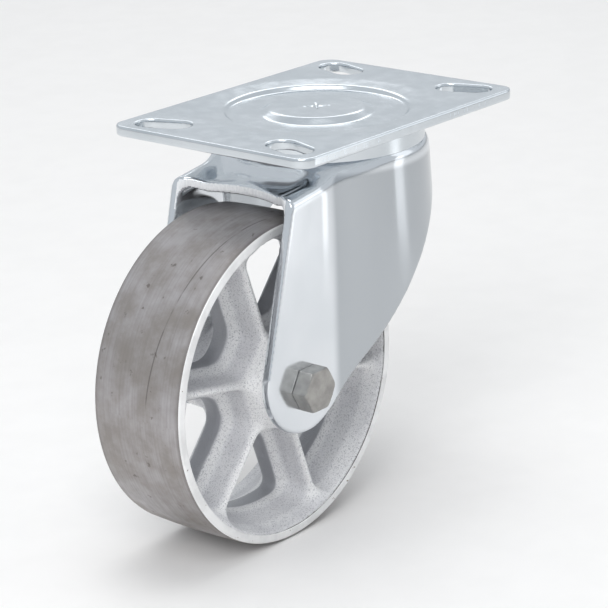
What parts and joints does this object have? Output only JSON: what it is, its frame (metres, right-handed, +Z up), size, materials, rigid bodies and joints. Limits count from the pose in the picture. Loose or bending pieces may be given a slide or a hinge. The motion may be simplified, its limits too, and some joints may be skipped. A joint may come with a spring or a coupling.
{
  "type": "swivel plate caster with cast iron wheel",
  "caption": "Swivel plate caster: a spoked cast iron wheel on roller bearings in a pressed steel yoke that turns under a slotted mounting plate.",
  "frame": {"origin": "centre of the mounting plate's top face, on the swivel axis", "axes": "+Z up out of the mounting face and along the swivel axis; the axle is parallel to Y and trails towards -X"},
  "size_m": [0.2112, 0.1142, 0.1905],
  "materials": {
    "zinc_plate": "bright zinc plating over pressed steel, faintly blue",
    "zinc_yoke": "bright zinc plating over pressed steel, faintly blue",
    "fastener": "dull zinc plated bolt, washer and nut",
    "inner_steel": "plain greased steel",
    "bearing_steel": "ground and polished bearing steel",
    "cast_wheel": "sand cast iron, silver painted spokes and rim, bare machined tread",
    "fitting_brass": "plain turned grease fitting"
  },
  "bodies": {
    "mount": {"top_plate": "zinc_plate", "kingpin": "inner_steel", "kingpin_cotter": "inner_steel", "kingpin_nut": "inner_steel", "race_shroud": "zinc_plate", "lower_race": "inner_steel"},
    "upper_ball_row": {"upper_load_balls": "bearing_steel"},
    "lower_ball_row": {"lower_thrust_balls": "bearing_steel"},
    "fork": {"yoke": "zinc_yoke", "axle_bolt": "fastener", "axle_lock_washer": "fastener", "axle_nut": "fastener", "axle_bushing": "inner_steel", "thrust_washer_near": "inner_steel", "thrust_washer_far": "inner_steel"},
    "roller_set": {"roller_cage": "inner_steel", "bearing_rollers": "bearing_steel"},
    "wheel": {"wheel": "cast_wheel", "bearing_sleeve": "bearing_steel", "hub_cap_near": "inner_steel", "hub_cap_far": "inner_steel", "wheel_grease_fitting": "fitting_brass"}
  },
  "joints": [
    {"name": "swivel", "type": "hinge", "parent": "mount", "child": "fork", "pos_m": [0, 0, 0], "axis": [0, 0, 1], "continuous": true},
    {"name": "upper_balls_turn", "type": "hinge", "parent": "mount", "child": "upper_ball_row", "pos_m": [0, 0, 0], "axis": [0, 0, 1], "continuous": true},
    {"name": "lower_balls_turn", "type": "hinge", "parent": "mount", "child": "lower_ball_row", "pos_m": [0, 0, 0], "axis": [0, 0, 1], "continuous": true},
    {"name": "wheel_spin", "type": "hinge", "parent": "fork", "child": "wheel", "pos_m": [-0.05556, 0, -0.1143], "axis": [0, 1, 0], "continuous": true},
    {"name": "rollers_turn", "type": "hinge", "parent": "fork", "child": "roller_set", "pos_m": [-0.05556, 0, -0.1143], "axis": [0, 1, 0], "continuous": true}
  ],
  "couplings": [
    {"joint": "upper_balls_turn", "follows": "swivel", "ratio": 0.5},
    {"joint": "lower_balls_turn", "follows": "swivel", "ratio": 0.5},
    {"joint": "rollers_turn", "follows": "wheel_spin", "ratio": 0.6}
  ]
}
